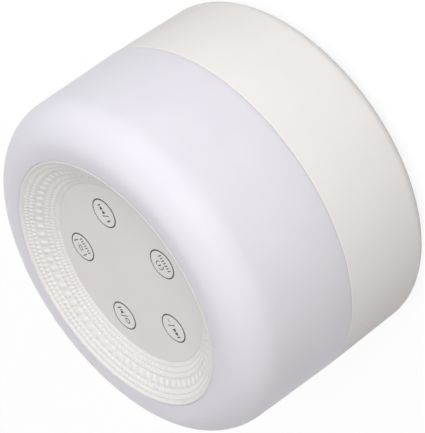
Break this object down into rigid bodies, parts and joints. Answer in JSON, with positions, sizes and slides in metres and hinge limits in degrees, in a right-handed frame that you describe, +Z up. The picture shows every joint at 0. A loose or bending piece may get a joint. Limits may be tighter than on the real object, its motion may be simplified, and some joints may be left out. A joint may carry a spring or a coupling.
{
  "type": "white noise sound machine",
  "caption": "Drum-shaped bedside sound machine: ivory base with a downward speaker, milky night-light diffuser, and a dished top with round keys in a patterned ring.",
  "frame": {"origin": "centre of the foot plane, on the drum's axis: the point of the table under the middle of the drum", "axes": "+Z up along the drum's axis; +Y towards the rear, where the cable inlet is; +X to the right of someone who reads the keys from the front"},
  "size_m": [0.11, 0.11, 0.0736],
  "materials": {
    "ivory_plastic": "fine matt texture",
    "diffuser_plastic": "milky translucent, satin gloss",
    "warm_white_plastic": "satin",
    "panel_plastic": "matt",
    "key_plastic": "matt",
    "inner_white_plastic": "satin",
    "black_plastic": "satin",
    "dark_rubber": "matt",
    "foam": "open foam",
    "zinc_steel": "zinc plated",
    "ferrite": "sintered ferrite",
    "paper_cone": "pressed paper pulp",
    "copper_wire": "enamelled copper",
    "circuit_board": "solder mask",
    "white_board": "white solder mask",
    "led_package": "phosphor gel",
    "red_insulation": "flexible insulation",
    "white_insulation": "flexible insulation"
  },
  "bodies": {
    "housing": {"base_shell": "ivory_plastic", "bottom_cover": "ivory_plastic", "rubber_feet": "dark_rubber", "cover_screws": "zinc_steel", "speaker_gasket": "foam", "speaker_frame": "zinc_steel", "speaker_surround": "dark_rubber", "speaker_magnet": "ferrite", "speaker_yoke": "zinc_steel", "speaker_screws": "zinc_steel", "chassis": "inner_white_plastic", "light_tower": "inner_white_plastic", "tower_screws": "zinc_steel", "led_board": "white_board", "leds": "led_package", "light_reflector": "inner_white_plastic", "led_board_screws": "zinc_steel", "diffuser": "diffuser_plastic", "trim_ring": "warm_white_plastic", "ring_screws": "zinc_steel", "control_panel": "panel_plastic", "switch_housings": "black_plastic", "key_board": "circuit_board", "key_board_screws": "zinc_steel", "main_board": "circuit_board", "main_board_screws": "zinc_steel", "controller_chip": "black_plastic", "amplifier_chip": "black_plastic", "capacitors": "black_plastic", "board_connectors": "inner_white_plastic", "usb_board": "circuit_board", "usb_socket": "zinc_steel", "usb_board_screws": "zinc_steel", "speaker_leads": "red_insulation", "usb_leads": "red_insulation", "led_leads": "white_insulation", "key_ribbon": "white_insulation"},
    "power_key": {"key_power": "key_plastic", "plunger_power": "black_plastic"},
    "light_key": {"key_light": "key_plastic", "plunger_light": "black_plastic"},
    "next_key": {"key_next": "key_plastic", "plunger_next": "black_plastic"},
    "previous_key": {"key_previous": "key_plastic", "plunger_previous": "black_plastic"},
    "timer_key": {"key_timer": "key_plastic", "plunger_timer": "black_plastic"},
    "speaker_diaphragm": {"speaker_cone": "paper_cone", "dust_cap": "paper_cone", "voice_coil": "copper_wire"}
  },
  "joints": [
    {"name": "power_key_press", "type": "slide", "parent": "housing", "child": "power_key", "axis": [0, 0, -1], "range_m": [0, 0.0006], "stiffness_N_per_m": 300},
    {"name": "light_key_press", "type": "slide", "parent": "housing", "child": "light_key", "axis": [0, 0, -1], "range_m": [0, 0.0006], "stiffness_N_per_m": 300},
    {"name": "next_key_press", "type": "slide", "parent": "housing", "child": "next_key", "axis": [0, 0, -1], "range_m": [0, 0.0006], "stiffness_N_per_m": 300},
    {"name": "previous_key_press", "type": "slide", "parent": "housing", "child": "previous_key", "axis": [0, 0, -1], "range_m": [0, 0.0006], "stiffness_N_per_m": 300},
    {"name": "timer_key_press", "type": "slide", "parent": "housing", "child": "timer_key", "axis": [0, 0, -1], "range_m": [0, 0.0006], "stiffness_N_per_m": 300},
    {"name": "speaker_diaphragm_stroke", "type": "slide", "parent": "housing", "child": "speaker_diaphragm", "axis": [0, 0, 1], "range_m": [-0.0008, 0.0008], "stiffness_N_per_m": 800}
  ]
}
